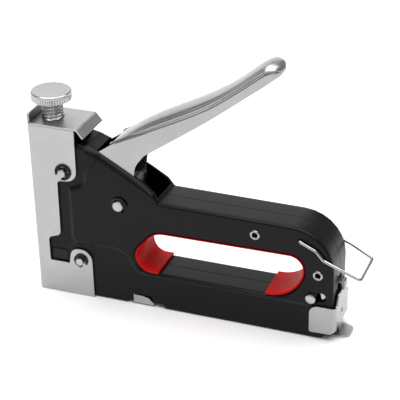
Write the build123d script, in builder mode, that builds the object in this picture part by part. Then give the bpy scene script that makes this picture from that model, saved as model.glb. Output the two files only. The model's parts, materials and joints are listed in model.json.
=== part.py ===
from build123d import *
import os
from math import cos, radians, sin

# Lever staple gun.  Millimetres.  +X runs from the nose to the rear, +Z is up and
# the tool's left side faces -Y.  The origin lies on the work surface, half way
# along the tool.  Places along the tool are given from the front of the nose.

# ---- Driving dimensions -------------------------------------------------------
knob_x = 9.75  # axis of the power screw, spring and hammer, from the nose
knob_r = 11.05
knob_top = 117.5
knob_thick = 5.5
screw_r = 6.0
screw_pitch = 1.75
screw_bottom = 91.2

cover_half = 12.4  # the nose cover's half width
cover_sheet = 1.2
cover_top = 101.2
front_wall_top = 107.2

panel_half = 12.2  # the shells' raised side panels
base_half = 11.0  # the shells' lower level, under the cover and along the magazine
shell_sheet = 1.1
half_seam = 0.1
body_rear = 171.0
body_top = 65.6
body_foot = 0.6

pivot_x, pivot_z, pivot_r = 51.7, 61.2, 3.0
upper_x, upper_z = 19.8, 76.0
lower_x, lower_z = 26.9, 22.5
pin_r = 2.3
pin_reach = 15.1
running = 0.04

ear_half = 9.0  # the handle's half width
handle_sheet = 1.4
arm_length = 28.5
arm_start = -22.0  # the lifter arm's slope at rest, degrees below the horizontal
nose_r = 2.4

spring_r = 7.4  # main spring, outside
main_wire = 2.2
hammer_foot, hammer_top = 34.5, 46.5
seat_foot, seat_top = 88.6, 91.15

blade_front, blade_rear = 1.55, 2.75
blade_half = 5.4

channel_half, channel_inner = 6.9, 5.8
channel_roof, channel_sheet = 16.1, 1.1
channel_front, channel_rear = 3.1, 165.0
rail_half, rail_inner, rail_top = 4.1, 3.2, 13.0
rail_front, rail_rear = 3.4, 171.4
rod_z, rod_r = 9.4, 1.25
pusher_spring_r, pusher_wire = 2.8, 0.6

cap_x, cap_sheet = 171.6, 1.2
ear_in, ear_out = 11.35, 12.4
tongue_tip = 178.4

catch_x, catch_z, catch_r = 158.9, 24.3, 2.6
catch_slope = 15.0
catch_run = 2.9  # half the length of the slot that the catch pin slides in

rivet_r, rivet_bore, rivet_head = 2.0, 1.2, 3.0
rivets = [(128.4, 56.9), (162.7, 39.0)]

wire_r = 0.85
bail_x, bail_z = 152.8, 58.1
bail_reach = 37.0
bail_slope = -28.6
bail_half, bail_end_half = 13.35, 11.9

grip_sheet = 1.2

# ---- Datum planes -------------------------------------------------------------
bail_tip_x = bail_x + bail_reach * cos(radians(bail_slope))
nose_x = -((knob_x - knob_r) + (bail_tip_x + wire_r)) / 2
side = Plane(origin=(nose_x, 0, 0), x_dir=(1, 0, 0), z_dir=(0, -1, 0))
plan = Plane(origin=(nose_x, 0, 0), x_dir=(1, 0, 0), z_dir=(0, 0, 1))
front = Plane(origin=(nose_x, 0, 0), x_dir=(0, 1, 0), z_dir=(1, 0, 0))
centre = Plane.XZ

# ---- Outlines seen from the side: (along, up, corner radius) ---------------------
top_run = [
    (body_rear, 64.6, 23),
    (74.6, body_top, 1.5),
    (71.5, 70.6, 3),
    (64.8, 75.7, 6),
    (41.0, 89.0, 12),
    (33.0, 92.3, 3),
]
shell_outline = [
    (1.9, body_foot, 0),
    (164.5, body_foot, 1),
    (body_rear, 7.0, 1),
    *top_run,
    (28.4, 93.3, 0),
    (1.9, 93.3, 2),
]
panel_outline = [
    (20.8, 66.5, 4),
    (20.8, 31.4, 5),
    (52.0, 32.4, 10),
    (59.5, 19.2, 8),
    (159.0, 18.4, 1.5),
    (161.5, 21.2, 1.5),
    (body_rear, 21.2, 0),
    *top_run,
    (30.7, 92.8, 0),
    (30.7, 71.0, 6),
]
slot_outline = [
    (71.0, 48.0, 13),
    (58.4, 33.5, 9),
    (62.2, 21.8, 9),
    (147.5, 21.8, 20),
    (155.4, 36.5, 13),
    (155.4, 48.6, 8.5),
]
cover_outline = [
    (0, 0, 0),
    (lower_x + 6.7, 0, 0),
    (lower_x + 6.7, lower_z + 6.7, 6.5),
    (lower_x - 5.6, lower_z + 6.7, 5),
    (19.6, 19.4, 0.6),
    (7.9, 19.4, 0.8),
    (7.9, 34.4, 2),
    (15.4, 36.6, 2.5),
    (15.8, 69.9, 1.6),
    (27.4, 71.2, 6.5),
    (27.6, cover_top, 0),
    (0, cover_top, 0),
]
notch_outline = [
    (53.5, -1, 0),
    (53.5, 2.2, 0.4),
    (56.6, 2.2, 0),
    (56.6, 6.5, 0.4),
    (67.2, 6.3, 2),
    (70.6, 2.6, 0.5),
    (75.4, 2.6, 1.8),
    (75.4, -1, 0),
]


def draw(corners, mode=Mode.ADD):
    """Adds a closed outline of straight runs with rounded corners to the sketch."""
    with BuildLine(mode=Mode.PRIVATE) as edge:
        FilletPolyline(
            *[(a, b) for a, b, _ in corners], radius=[r for _, _, r in corners], close=True
        )
    make_face(edge.edges(), mode=mode)


def block(low, high, mode=Mode.ADD):
    """Adds a rectangle between two corners to the sketch."""
    with Locations(((low[0] + high[0]) / 2, (low[1] + high[1]) / 2)):
        Rectangle(high[0] - low[0], high[1] - low[1], mode=mode)


def across(x, z, y=0):
    """A plane seen from the left, centred on a place of the side view."""
    return Plane(origin=(nose_x + x, y, z), x_dir=(1, 0, 0), z_dir=(0, -1, 0))


def write(built, label):
    """Labels a finished piece and writes it as its own STEP file."""
    built.part.label = label
    export_step(built.part, f"parts/{label}.step")


os.makedirs("parts", exist_ok=True)

# ---- Shells: two pressed halves that meet on the centre plane --------------------
with BuildPart() as left_shell:
    with BuildSketch(side.offset(half_seam)):
        draw(shell_outline)
        draw(slot_outline, Mode.SUBTRACT)
    extrude(amount=base_half - half_seam)
    with BuildSketch(side.offset(base_half)):
        draw(panel_outline)
        draw(slot_outline, Mode.SUBTRACT)
    extrude(amount=panel_half - base_half, taper=45)
    # small pressed pad in the nose cover's cut-out
    with BuildSketch(side.offset(base_half)):
        draw([(8.6, 20.0, 0.8), (19.0, 20.0, 0.8), (19.0, 27.6, 0.8), (8.6, 27.6, 0.8)])
    extrude(amount=0.6, taper=30)
    # hollow inside, open at the foot and at the front
    with BuildSketch(side.offset(half_seam)):
        draw(shell_outline)
        draw(slot_outline, Mode.SUBTRACT)
        offset(amount=-shell_sheet)
        block((1, -1), (body_rear + 1, 16.6))
        block((1, -1), (4, 92))
    extrude(amount=base_half - shell_sheet - half_seam, mode=Mode.SUBTRACT)
    with BuildSketch(side.offset(base_half - shell_sheet)):
        draw(panel_outline)
        draw(slot_outline, Mode.SUBTRACT)
        offset(amount=-1.7)
    extrude(amount=panel_half - base_half, mode=Mode.SUBTRACT)
    # slot in the sloping top for the handle
    with BuildSketch(plan.offset(66.4)):
        block((38.8, -9.35), (73.4, 9.35))
    extrude(amount=30, mode=Mode.SUBTRACT)
    # opening in the roof for the spring seat
    with BuildSketch(plan.offset(91.5)):
        block((0, -spring_r - 0.5), (knob_x, spring_r + 0.5))
        with Locations((knob_x, 0)):
            Circle(spring_r + 0.5)
    extrude(amount=3, mode=Mode.SUBTRACT)
    # bores, the catch slot and the foot notch through the side
    with BuildSketch(side):
        with Locations((upper_x, upper_z), (lower_x, lower_z)):
            Circle(pin_r + running)
        with Locations((pivot_x, pivot_z)):
            Circle(pivot_r + running)
        with Locations(*rivets):
            Circle(rivet_r + running)
        with Locations((bail_x, bail_z)):
            Circle(wire_r + 0.06)
        lean = radians(catch_slope)
        with Locations((catch_x + catch_run * cos(lean), catch_z + catch_run * sin(lean))):
            SlotCenterToCenter(2 * catch_run, 2 * catch_r + 0.6, rotation=catch_slope)
        draw(notch_outline)
    extrude(amount=panel_half + 1, mode=Mode.SUBTRACT)
    # slot in the rear wall for the catch's hook
    with BuildSketch(side):
        block((168, 26.9), (body_rear + 1, 34.6))
    extrude(amount=3.4, mode=Mode.SUBTRACT)
write(left_shell, "left_shell")

with BuildPart() as right_shell:
    add(mirror(left_shell.part, about=centre))
write(right_shell, "right_shell")

# ---- Nose cover: bright folded sheet round the front -----------------------------
with BuildPart() as nose_cover:
    with BuildSketch(side):
        draw(cover_outline)
    extrude(amount=cover_half, both=True)
    fillet(nose_cover.edges().filter_by(Axis.Z).group_by(Axis.X)[0], radius=1.6)
    with BuildSketch(side):
        block((cover_sheet, -1), (40, cover_top + 1))
    extrude(amount=cover_half - cover_sheet, both=True, mode=Mode.SUBTRACT)
    # the front wall stands a little above the sides
    half = cover_half - 0.4
    with BuildSketch(front):
        draw(
            [
                (-half, cover_top, 0),
                (half, cover_top, 0),
                (half, front_wall_top, 2),
                (-half, front_wall_top, 2),
            ]
        )
    extrude(amount=cover_sheet)
    with BuildSketch(side):
        for x, z in [(upper_x, upper_z), (lower_x, lower_z)]:
            with Locations((x, z)):
                Circle(pin_r + running)
    extrude(amount=cover_half + 1, both=True, mode=Mode.SUBTRACT)
write(nose_cover, "nose_cover")

# ---- Top plate with its turned-down rear lip -------------------------------------
plate_sheet = 1.1
with BuildPart() as top_plate:
    with BuildSketch(side):
        draw(
            [
                (1.4, cover_top + 0.02, 0),
                (28.9, cover_top + 0.02, 1.2),
                (32.6, 97.0, 0),
                (33.4, 97.8, 0),
                (29.3, cover_top + 0.02 + plate_sheet, 2.2),
                (1.4, cover_top + 0.02 + plate_sheet, 0),
            ]
        )
    extrude(amount=cover_half, both=True)
    with BuildSketch(plan.offset(cover_top)):
        with Locations((knob_x, 0)):
            Circle(screw_r + 0.06)
    extrude(amount=3, mode=Mode.SUBTRACT)
write(top_plate, "top_plate")

with BuildPart() as power_nut:
    with BuildSketch(plan.offset(96.0)):
        with Locations((knob_x, 0)):
            Rectangle(16.5, 17.5)
            Circle(screw_r + 0.06, mode=Mode.SUBTRACT)
    extrude(amount=cover_top - 96.0)
    chamfer(power_nut.edges().filter_by(Axis.Z).group_by(Axis.X)[-1], length=1.5)
write(power_nut, "power_nut")

# ---- Power screw with knurled head -------------------------------------------------
knob_foot = knob_top - knob_thick
with BuildPart() as power_knob:
    with BuildSketch(plan.offset(knob_foot)):
        with Locations((knob_x, 0)):
            Circle(knob_r)
    extrude(amount=knob_thick)
    chamfer(power_knob.edges().group_by(Axis.Z)[-1], length=0.8)
    chamfer(power_knob.edges().group_by(Axis.Z)[0], length=0.8)
    with BuildSketch(plan.offset(knob_foot - 1)):
        with Locations((knob_x, 0)):
            with PolarLocations(knob_r + 0.1, 48):
                Rectangle(0.7, 0.7, rotation=45)
    extrude(amount=knob_thick + 2, mode=Mode.SUBTRACT)
    with BuildSketch(side):
        with BuildLine():
            depth = 0.75
            thread = [(0, screw_bottom)]
            turns = int((knob_foot - screw_bottom - 1.5) / screw_pitch)
            for turn in range(turns):
                foot = screw_bottom + 1.0 + turn * screw_pitch
                thread += [
                    (screw_r - depth, foot),
                    (screw_r, foot + 0.6),
                    (screw_r, foot + 0.8),
                    (screw_r - depth, foot + 1.4),
                ]
            thread[1:1] = [(screw_r - depth, screw_bottom)]
            thread += [(screw_r - depth, knob_foot + 0.5), (0, knob_foot + 0.5)]
            Polyline(*[(knob_x + r, z) for r, z in thread], close=True)
        make_face()
    revolve(axis=Axis((nose_x + knob_x, 0, 0), (0, 0, 1)))
write(power_knob, "power_knob")

with BuildPart() as spring_seat:
    with BuildSketch(plan.offset(seat_foot)):
        with Locations((knob_x, 0)):
            Circle(spring_r)
    extrude(amount=seat_top - seat_foot)
    with BuildSketch(plan.offset(seat_foot)):
        with Locations((knob_x, 0)):
            Circle(spring_r - main_wire - 0.3)
    extrude(amount=-3.0)
    chamfer(spring_seat.edges().group_by(Axis.Z)[0], length=0.6)
write(spring_seat, "spring_seat")


def coil_tube(outer, wire, coils, length):
    """Half section of a closed tube with one round rib for each coil, from (0, 0) up."""
    middle = outer - wire / 2
    pitch = (length - wire) / (coils - 1)
    for coil in range(coils):
        with Locations((middle, wire / 2 + coil * pitch)):
            Circle(wire / 2)
    block((middle - wire / 8, 0.2 * wire), (middle + wire / 8, length - 0.2 * wire))


with BuildPart() as main_spring:
    with BuildSketch(across(knob_x, hammer_top + 0.05)):
        coil_tube(spring_r, main_wire, 9, seat_foot - hammer_top - 0.1)
    revolve(axis=Axis((nose_x + knob_x, 0, 0), (0, 0, 1)))
write(main_spring, "main_spring")

# ---- Hammer, blade, bumper and nose guide ------------------------------------------
slope = radians(arm_start)
tip_x = pivot_x - arm_length * cos(slope)
tip_z = pivot_z + arm_length * sin(slope)
hook_foot = tip_z + nose_r + 0.5
with BuildPart() as hammer:
    with BuildSketch(side):
        block((blade_rear, hammer_foot), (17.4, hammer_top))
    extrude(amount=8.8, both=True)
    chamfer(hammer.edges().filter_by(Axis.Z).group_by(Axis.X)[-1], length=2)
    with BuildSketch(side):
        block((15.6, hammer_foot + 3), (19.6, hammer_top))
        block((17.4, hammer_foot + 3), (19.6, hook_foot + 2.3))
        block((17.4, hook_foot), (tip_x, hook_foot + 2.3))
    extrude(amount=4, both=True)
    with BuildSketch(plan.offset(hammer_top)):
        with Locations((knob_x, 0)):
            Circle(spring_r - main_wire - 0.3)
    extrude(amount=3.0)
    chamfer(hammer.faces().filter_by(Plane.XY).sort_by(Axis.Z)[-2].edges(), length=0.6)
write(hammer, "hammer")

with BuildPart() as driver_blade:
    with BuildSketch(side):
        block((blade_front, 0.4), (blade_rear, hammer_top))
    extrude(amount=blade_half, both=True)
    with BuildSketch(side):
        block((blade_front, hammer_foot), (blade_rear, hammer_top))
    extrude(amount=8.8, both=True)
write(driver_blade, "driver_blade")

with BuildPart() as bumper:
    with BuildSketch(side):
        block((3.2, 30.0), (17.4, 34.2))
    extrude(amount=9.0, both=True)
    chamfer(bumper.edges().filter_by(Axis.Z), length=1.2)
write(bumper, "bumper")

with BuildPart() as nose_guide:
    with BuildSketch(side):
        block((channel_front, channel_roof + 0.3), (31.0, 30.0))
    extrude(amount=9.6, both=True)
    with BuildSketch(side):
        block((1.4, 0.6), (31.0, 30.0))
    extrude(amount=9.6, both=True)
    with BuildSketch(side):
        block((1, 0), (32, channel_roof + 0.3))
    extrude(amount=channel_half + 0.2, both=True, mode=Mode.SUBTRACT)
    with BuildSketch(side):
        block((1, 0), (channel_front, 31))
    extrude(amount=blade_half + 0.3, both=True, mode=Mode.SUBTRACT)
    with BuildSketch(side):
        with Locations((lower_x, lower_z)):
            Circle(pin_r + running)
    extrude(amount=10, both=True, mode=Mode.SUBTRACT)
    fillet(nose_guide.edges().filter_by(Axis.Y).group_by(Axis.Z)[-1].sort_by(Axis.X)[-1], radius=3)
write(nose_guide, "nose_guide")


# ---- Pins, clips, rivets -------------------------------------------------------------
groove_in, groove_out = 12.5, 13.3


def cross_pin(x, z, r, reach, groove_depth):
    """A pin right across the tool, grooved near both ends for its clips."""
    with BuildSketch(across(x, z), mode=Mode.PRIVATE) as section:
        Circle(r)
    extrude(section.sketch, amount=reach, both=True)
    chamfer(edges().filter_by(GeomType.CIRCLE), length=0.4)
    for sign in (-1, 1):
        middle = sign * (groove_in + groove_out) / 2
        with BuildSketch(across(x, z, middle), mode=Mode.PRIVATE) as ring:
            Circle(r + 1)
            Circle(r - groove_depth, mode=Mode.SUBTRACT)
        extrude(ring.sketch, amount=(groove_out - groove_in) / 2, both=True, mode=Mode.SUBTRACT)


def clip(x, z, hub_r, outer_r, turn, sign):
    """A spring clip in a pin's groove: a broad ring with a gap and three inner teeth."""
    middle = sign * (groove_in + groove_out) / 2
    with BuildSketch(across(x, z, middle), mode=Mode.PRIVATE) as shape:
        Circle(outer_r)
        Circle(outer_r - 1.35, mode=Mode.SUBTRACT)
        for tooth in (90, 180, 270):
            with PolarLocations((outer_r + hub_r) / 2, 1, start_angle=turn + tooth):
                Rectangle(outer_r - hub_r - 0.5, 1.7)
        Circle(hub_r + 0.03, mode=Mode.SUBTRACT)
        with PolarLocations(outer_r, 1, start_angle=turn):
            Rectangle(outer_r + 1.2, 2 * hub_r * 0.92, mode=Mode.SUBTRACT)
    extrude(shape.sketch, amount=(groove_out - groove_in) / 2 - 0.02, both=True)


with BuildPart() as upper_pin:
    cross_pin(upper_x, upper_z, pin_r, pin_reach, 0.5)
write(upper_pin, "upper_pin")

with BuildPart() as lower_pin:
    cross_pin(lower_x, lower_z, pin_r, pin_reach, 0.5)
write(lower_pin, "lower_pin")

with BuildPart() as pivot_pin:
    cross_pin(pivot_x, pivot_z, pivot_r, pin_reach - 0.6, 0.6)
write(pivot_pin, "pivot_pin")

with BuildPart() as pin_clips:
    for sign in (-1, 1):
        clip(upper_x, upper_z, pin_r - 0.5, 4.7, 230, sign)
        clip(lower_x, lower_z, pin_r - 0.5, 4.1, 300, sign)
write(pin_clips, "pin_clips")

with BuildPart() as pivot_clips:
    for sign in (-1, 1):
        clip(pivot_x, pivot_z, pivot_r - 0.6, 4.8, 330, sign)
write(pivot_clips, "pivot_clips")

with BuildPart() as tubular_rivets:
    for x, z in rivets:
        with BuildSketch(across(x, z)):
            Circle(rivet_r)
        extrude(amount=panel_half + 0.7, both=True)
        for sign in (-1, 1):
            head = Plane(origin=(nose_x + x, sign * (panel_half + 0.02), z), z_dir=(0, sign, 0))
            with BuildSketch(head):
                Circle(rivet_head)
            extrude(amount=0.68, taper=20)
        with BuildSketch(across(x, z)):
            Circle(rivet_bore)
        extrude(amount=panel_half + 1, both=True, mode=Mode.SUBTRACT)
write(tubular_rivets, "tubular_rivets")

with BuildPart() as rivet_spacers:
    for x, z in rivets:
        with BuildSketch(across(x, z)):
            Circle(3.2)
            Circle(rivet_r + running, mode=Mode.SUBTRACT)
        extrude(amount=panel_half - shell_sheet - 0.05, both=True)
write(rivet_spacers, "rivet_spacers")

# ---- Handle and lifter ---------------------------------------------------------------
handle_crown = [(48.6, 96.6), (56.0, 102.4), (70.6, 112.0), (97.3, 125.8), (113.3, 135.7), (127.5, 147.0)]
handle_groove = [(46.9, 94.6), (70.3, 105.6), (98.3, 120.0), (116.6, 132.6), (131.5, 144.6)]
handle_lower = [(66.0, 90.9), (99.2, 113.9), (120.0, 129.6), (139.0, 143.9)]
handle_end = (134.2, 150.6)
dome_half = 9.9
boss_r = 7.6
cross_x, cross_z, cross_r = 57.0, 71.5, 1.6  # pin that ties the lifter to the handle

with BuildPart() as handle:
    # rounded crown, a little wider than the flat sides below it
    with BuildSketch(side):
        with BuildLine():
            crown = Spline(*handle_crown)
            groove = Spline(*handle_groove)
            Polyline(crown @ 1, handle_end, (138.4, 145.0), groove @ 1)
            Line(groove @ 0, crown @ 0)
        make_face()
    extrude(amount=dome_half, both=True)
    outer_edges = handle.edges().filter_by(lambda edge: abs(edge.center().Y) > dome_half - 0.1)
    fillet(outer_edges.sort_by(SortBy.LENGTH)[-4:-2], radius=4)
    with BuildSketch(side):
        with BuildLine():
            groove = Spline(*handle_groove)
            lower = Spline(*handle_lower)
            Line(groove @ 1, lower @ 1)
            FilletPolyline(
                lower @ 0,
                (60.2, 83.5),
                (pivot_x + boss_r, pivot_z + 4),
                (pivot_x + boss_r, pivot_z - boss_r),
                (pivot_x - boss_r, pivot_z - boss_r),
                (pivot_x - boss_r, pivot_z + 4),
                (39.7, 89.5),
                groove @ 0,
                radius=[8, 3, boss_r - 0.3, boss_r - 0.3, 6, 0.6],
            )
        make_face()
    extrude(amount=ear_half, both=True)
    # the free end is round in plan
    with BuildSketch(plan.offset(40)):
        draw([(30, -12, 0), (140.4, -12, 11), (140.4, 12, 11), (30, 12, 0)])
    extrude(amount=120, mode=Mode.INTERSECT)
    # channel section: one sheet thick, open below and at the front of the root
    with BuildSketch(side):
        with BuildLine():
            inner = Spline(*[(x + 0.6 * handle_sheet, z - 0.9 * handle_sheet) for x, z in handle_crown])
            Polyline(
                inner @ 1,
                (handle_lower[-1][0] - 4.5, handle_lower[-1][1] + 1),
                (handle_lower[-1][0] + 2, 120),
                (90, 40),
                (30, 40),
                (30, 84),
                inner @ 0,
            )
        make_face()
    extrude(amount=ear_half - handle_sheet, both=True, mode=Mode.SUBTRACT)
    with BuildSketch(side):
        with Locations((pivot_x, pivot_z)):
            Circle(pivot_r + running)
        with Locations((cross_x, cross_z)):
            Circle(cross_r + running)
    extrude(amount=ear_half + 1, both=True, mode=Mode.SUBTRACT)
write(handle, "handle")

with BuildPart() as lifter:
    with BuildSketch(side):
        with Locations((pivot_x, pivot_z)):
            Circle(6.2)
        with Locations((tip_x, tip_z)):
            Circle(nose_r)
        make_hull()
    with BuildSketch(side):
        with Locations((pivot_x, pivot_z)):
            Circle(6.2)
        with Locations((cross_x, cross_z)):
            Circle(3.6)
        make_hull()
    extrude(amount=3.2, both=True)
    with BuildSketch(side):
        with Locations((pivot_x, pivot_z)):
            Circle(pivot_r + running)
        with Locations((cross_x, cross_z)):
            Circle(cross_r + running)
    extrude(amount=4, both=True, mode=Mode.SUBTRACT)
write(lifter, "lifter")

with BuildPart() as lifter_pin:
    with BuildSketch(across(cross_x, cross_z)):
        Circle(cross_r)
    extrude(amount=ear_half + 0.4, both=True)
    chamfer(lifter_pin.edges().filter_by(GeomType.CIRCLE), length=0.3)
write(lifter_pin, "lifter_pin")

with BuildPart() as pivot_spacer:
    with BuildSketch(across(pivot_x, pivot_z, -3.25)):
        Circle(4.9)
        Circle(pivot_r + running, mode=Mode.SUBTRACT)
    extrude(amount=ear_half - handle_sheet - 3.3)
write(pivot_spacer, "pivot_spacer")

# handle return spring: a close coil on the pivot pin with one long leg
with BuildPart() as return_spring:
    return_wire, return_outer = 1.2, pivot_r + 1.25
    with BuildSketch(Plane(origin=(nose_x + pivot_x, 3.5, pivot_z), x_dir=(1, 0, 0), z_dir=(0, 0, 1))):
        coil_tube(return_outer, return_wire, 3, 3.7)
    revolve(axis=Axis((nose_x + pivot_x, 0, pivot_z), (0, 1, 0)))
    leg_z = pivot_z - return_outer + return_wire / 2
    with BuildSketch(front.offset(pivot_x)):
        with Locations((3.5 + return_wire / 2, leg_z)):
            Circle(return_wire / 2 - 0.05)
    extrude(amount=-16)
write(return_spring, "return_spring")

# ---- Magazine ------------------------------------------------------------------------
with BuildPart() as magazine_channel:
    with BuildSketch(side):
        block((channel_front, 0.8), (channel_rear, channel_roof))
    extrude(amount=channel_half, both=True)
    with BuildSketch(side):
        block((channel_front - 1, 0), (channel_rear + 1, channel_roof - channel_sheet))
    extrude(amount=channel_inner, both=True, mode=Mode.SUBTRACT)
    # side tabs that fill the foot notches and tie the two shells together
    for sign in (-1, 1):
        with BuildSketch(side.offset(sign * (base_half - 0.7))):
            draw(
                [
                    (57, 0.8, 0),
                    (69, 0.8, 0),
                    (68.6, 2.0, 0.5),
                    (66.0, 4.8, 1.5),
                    (62.0, 5.6, 3),
                    (57, 5.6, 0.4),
                ]
            )
        extrude(amount=0.6, both=True)
        with BuildSketch(plan.offset(0.8)):
            block((57, sign * (channel_half - 0.2)), (69, sign * (base_half - 0.5)))
        extrude(amount=1.2)
write(magazine_channel, "magazine_channel")

with BuildPart() as magazine_rail:
    with BuildSketch(side):
        block((rail_front, 0), (rail_rear, rail_top))
    extrude(amount=rail_half, both=True)
    with BuildSketch(side):
        block((rail_front + 1.2, 1.1), (rail_rear + 1, rail_top + 1))
    extrude(amount=rail_inner, both=True, mode=Mode.SUBTRACT)
    with BuildSketch(front.offset(rail_front)):
        with Locations((0, rod_z)):
            Circle(rod_r + running)
    extrude(amount=2, mode=Mode.SUBTRACT)
    # thumb tongue at the rear, turned up a little at its tip
    with BuildSketch(plan):
        draw(
            [
                (165.5, -6.8, 1),
                (172.5, -6.8, 3),
                (tongue_tip, -4.4, 2.5),
                (tongue_tip, 4.4, 2.5),
                (172.5, 6.8, 3),
                (165.5, 6.8, 1),
            ]
        )
    extrude(amount=1.1)
write(magazine_rail, "magazine_rail")

with BuildPart() as pusher_rod:
    with BuildSketch(front.offset(rail_front)):
        with Locations((0, rod_z)):
            Circle(rod_r)
    extrude(amount=cap_x - rail_front)
write(pusher_rod, "pusher_rod")

pusher_front, pusher_rear = 5.0, 17.5
with BuildPart() as pusher:
    with BuildSketch(side):
        block((pusher_front, 6.2), (pusher_rear, rail_top + 1.3))
    extrude(amount=rail_inner - 0.35, both=True)
    with BuildSketch(side):
        block((3.6, rail_top + 0.35), (pusher_rear, rail_top + 1.4))
    extrude(amount=5.4, both=True)
    for sign in (-1, 1):
        with BuildSketch(plan.offset(2.4)):
            block((3.6, sign * (rail_half + 0.35)), (12.0, sign * 5.4))
        extrude(amount=rail_top - 1.0)
    with BuildSketch(front.offset(3)):
        with Locations((0, rod_z)):
            Circle(rod_r + 0.06)
    extrude(amount=20, mode=Mode.SUBTRACT)
write(pusher, "pusher")

with BuildPart() as pusher_spring:
    spring_foot = pusher_rear + 0.1
    spring_plane = Plane(origin=(nose_x + spring_foot, 0, rod_z), x_dir=(0, 0, 1), z_dir=(0, 1, 0))
    with BuildSketch(spring_plane):
        coil_tube(pusher_spring_r, pusher_wire, 48, cap_x - 0.1 - spring_foot)
    revolve(axis=Axis((nose_x, 0, rod_z), (1, 0, 0)))
write(pusher_spring, "pusher_spring")

with BuildPart() as rear_cap:
    # side ears that lie over the foot of the shells
    for sign in (-1, 1):
        middle = sign * (ear_in + ear_out) / 2
        with BuildSketch(side.offset(middle)):
            draw(
                [
                    (158.2, 4.0, 1.2),
                    (cap_x + cap_sheet, 4.4, 1.5),
                    (cap_x + cap_sheet, 20.2, 0.8),
                    (158.2, 20.2, 4.5),
                ]
            )
        extrude(amount=(ear_out - ear_in) / 2, both=True)
    with BuildSketch(front.offset(cap_x)):
        draw(
            [
                (-ear_out, 7.0, 1.0),
                (ear_out, 7.0, 1.0),
                (ear_out, 20.2, 2.5),
                (9.4, 20.2, 1.2),
                (8.0, 22.8, 1.5),
                (6.0, 26.2, 2.0),
                (-6.0, 26.2, 2.0),
                (-8.0, 22.8, 1.5),
                (-9.4, 20.2, 1.2),
                (-ear_out, 20.2, 2.5),
            ]
        )
        with Locations((0, 13.4)):
            Circle(1.1, mode=Mode.SUBTRACT)
    extrude(amount=cap_sheet)
    # folded corners between the wall and the ears
    cap_rear = cap_x + cap_sheet
    with BuildSketch(plan):
        draw([(150, -ear_out, 0), (cap_rear, -ear_out, 1.8), (cap_rear, ear_out, 1.8), (150, ear_out, 0)])
    extrude(amount=40, mode=Mode.INTERSECT)
    # web from the wall down to the tongue
    with BuildSketch(front.offset(cap_x)):
        block((-3.0, 1.1), (3.0, 7.5))
    extrude(amount=cap_sheet)
write(rear_cap, "rear_cap")

# ---- Magazine catch --------------------------------------------------------------------
with BuildPart() as catch:
    with BuildSketch(side):
        draw(
            [
                (154.6, 20.6, 1.5),
                (161.4, 20.6, 0.5),
                (161.4, 28.0, 2),
                (169.0, 30.2, 1),
                (173.2, 31.2, 0.6),
                (173.2, 27.3, 0.4),
                (174.4, 27.3, 0.4),
                (174.4, 32.6, 1.5),
                (168.0, 31.8, 2),
                (154.6, 29.0, 3),
            ]
        )
    extrude(amount=2.6, both=True)
    with BuildSketch(across(catch_x, catch_z)):
        Circle(catch_r - 0.4 + running)
    extrude(amount=4, both=True, mode=Mode.SUBTRACT)
write(catch, "catch")

with BuildPart() as catch_pin:
    with BuildSketch(across(catch_x, catch_z)):
        Circle(catch_r - 0.4)
    extrude(amount=base_half - 1, both=True)
    with BuildSketch(across(catch_x, catch_z)):
        Circle(catch_r)
    extrude(amount=panel_half + 0.9, both=True)
    with BuildSketch(across(catch_x, catch_z)):
        Circle(catch_r + 1)
        Circle(catch_r - 0.4, mode=Mode.SUBTRACT)
    extrude(amount=3.0, both=True, mode=Mode.SUBTRACT)
    chamfer(catch_pin.edges().group_by(Axis.Y)[0], length=0.4)
    chamfer(catch_pin.edges().group_by(Axis.Y)[-1], length=0.4)
write(catch_pin, "catch_pin")

with BuildPart() as catch_spring:
    spring_plane = Plane(origin=(nose_x + 161.5, 0, 23.6), x_dir=(0, 0, 1), z_dir=(0, 1, 0))
    with BuildSketch(spring_plane):
        coil_tube(2.1, 0.5, 7, 8.2)
    revolve(axis=Axis((nose_x, 0, 23.6), (1, 0, 0)))
write(catch_spring, "catch_spring")

# ---- Grip insert -----------------------------------------------------------------------
with BuildPart() as grip_insert:
    with BuildSketch(side):
        draw(slot_outline)
        offset(amount=-0.15)
    extrude(amount=panel_half + 0.3, both=True)
    with BuildSketch(side):
        draw(slot_outline)
        offset(amount=-0.15 - grip_sheet)
        draw([(71.0, 15, 0), (133.0, 15, 0), (134.5, 32, 0), (74.5, 32, 0)])
    extrude(amount=panel_half + 1, both=True, mode=Mode.SUBTRACT)
    # thinner along the top
    with BuildSketch(across(0, grip_sheet / 2)):
        draw(slot_outline)
        offset(amount=-0.15 - grip_sheet)
    extrude(amount=panel_half + 1, both=True, mode=Mode.SUBTRACT)
write(grip_insert, "grip_insert")

# ---- Wire bail -------------------------------------------------------------------------
fall = radians(bail_slope)


def bail_point(reach, lift, y):
    """A point of the bail, out along its slope from the pivot and lifted square to it."""
    return (
        nose_x + bail_x + reach * cos(fall) - lift * sin(fall),
        y,
        bail_z + reach * sin(fall) + lift * cos(fall),
    )


with BuildPart() as wire_bail:
    route = []
    for sign in (-1, 1):
        leg = [
            bail_point(0, 0, sign * 8.4),
            bail_point(0, 0, sign * bail_half),
            bail_point(10.0, 0.6, sign * bail_half),
            bail_point(15.5, -1.6, sign * bail_half),
            bail_point(24.5, -0.7, sign * bail_half),
            bail_point(bail_reach, 0, sign * bail_end_half),
        ]
        route += leg if sign < 0 else list(reversed(leg))
    with BuildLine() as wire_line:
        FilletPolyline(*route, radius=[1.2, 4, 4, 6, 1.6, 1.6, 6, 4, 4, 1.2])
    with BuildSketch(Plane(origin=wire_line.line @ 0, z_dir=wire_line.line % 0)):
        Circle(wire_r)
    sweep()
write(wire_bail, "wire_bail")
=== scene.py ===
import json
from math import cos, pi, radians, sin, sqrt, tan

import bmesh
import bpy
import numpy as np
from mathutils import Matrix, Vector
from mathutils.geometry import delaunay_2d_cdt


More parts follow.
